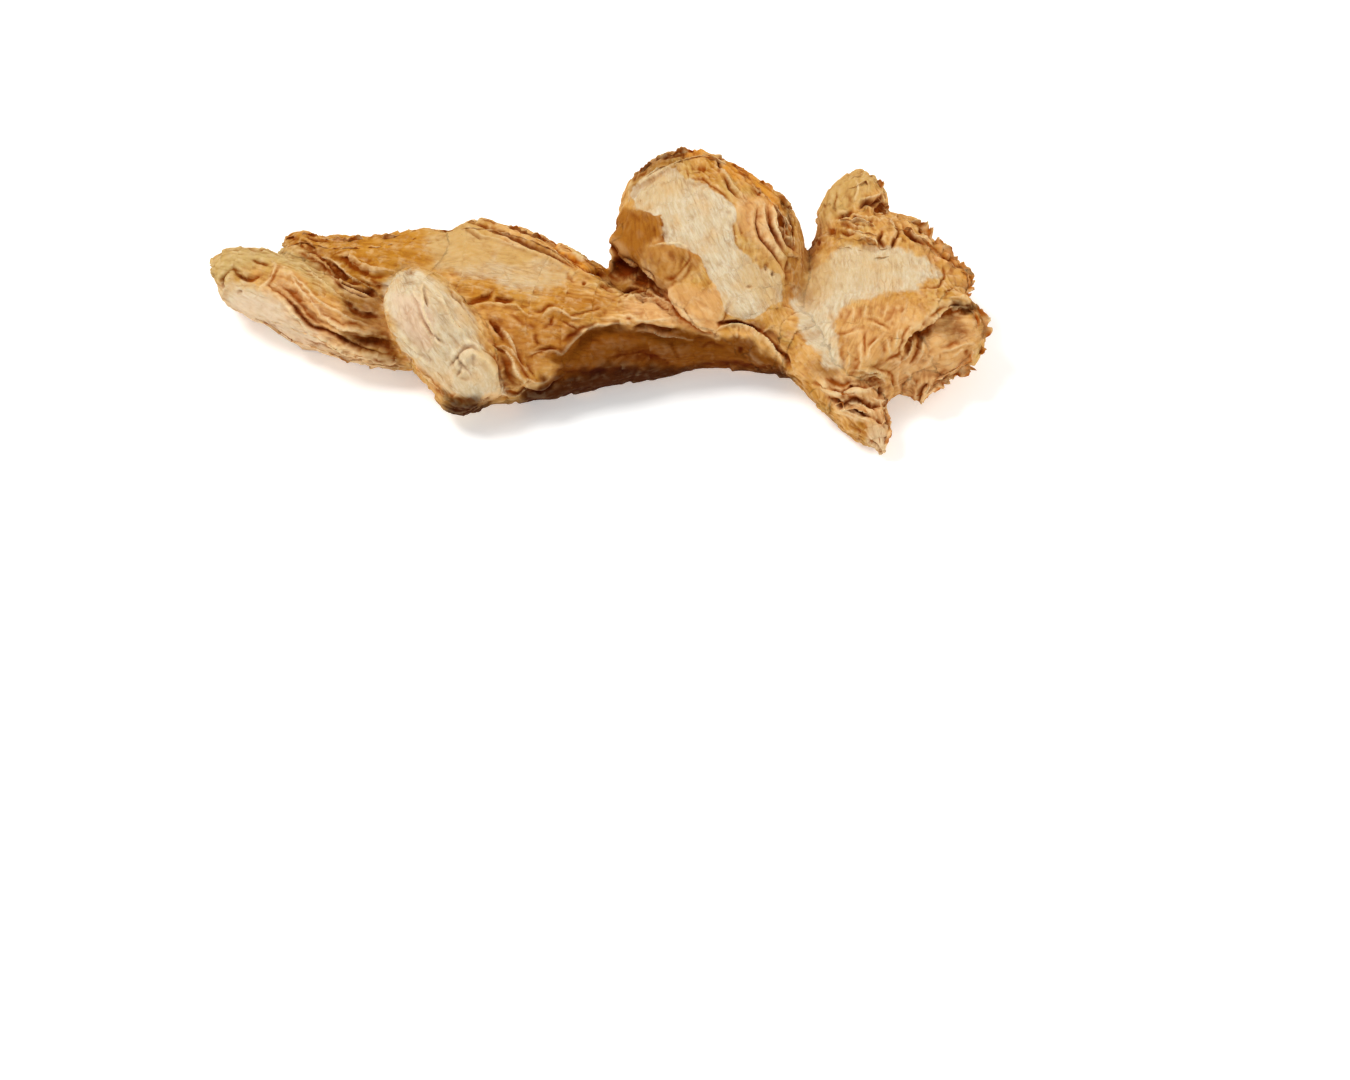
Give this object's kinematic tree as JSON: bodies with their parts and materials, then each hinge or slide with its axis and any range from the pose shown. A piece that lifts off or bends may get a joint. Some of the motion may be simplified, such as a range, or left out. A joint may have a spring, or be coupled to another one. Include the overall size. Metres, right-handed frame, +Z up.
{
  "type": "ginger root",
  "caption": "Dried ginger root lying flat: a wrinkled, flattened rhizome with blunt fingers, round side lobes, a knobbly end and a short stalk stub.",
  "frame": {"origin": "middle of the bounding box's bottom face, on the table that the root lies on", "axes": "+X along the root from its left finger to its right knob, +Z up through its flattened thickness, +Y away from the side that carries the stalk stub"},
  "size_m": [0.1245, 0.0522, 0.0228],
  "materials": {
    "dried_skin": "dry, matte and wrinkled: golden-brown skin, paler where it has peeled, dark in its folds"
  },
  "bodies": {
    "root": {"rhizome": "dried_skin"}
  },
  "joints": []
}
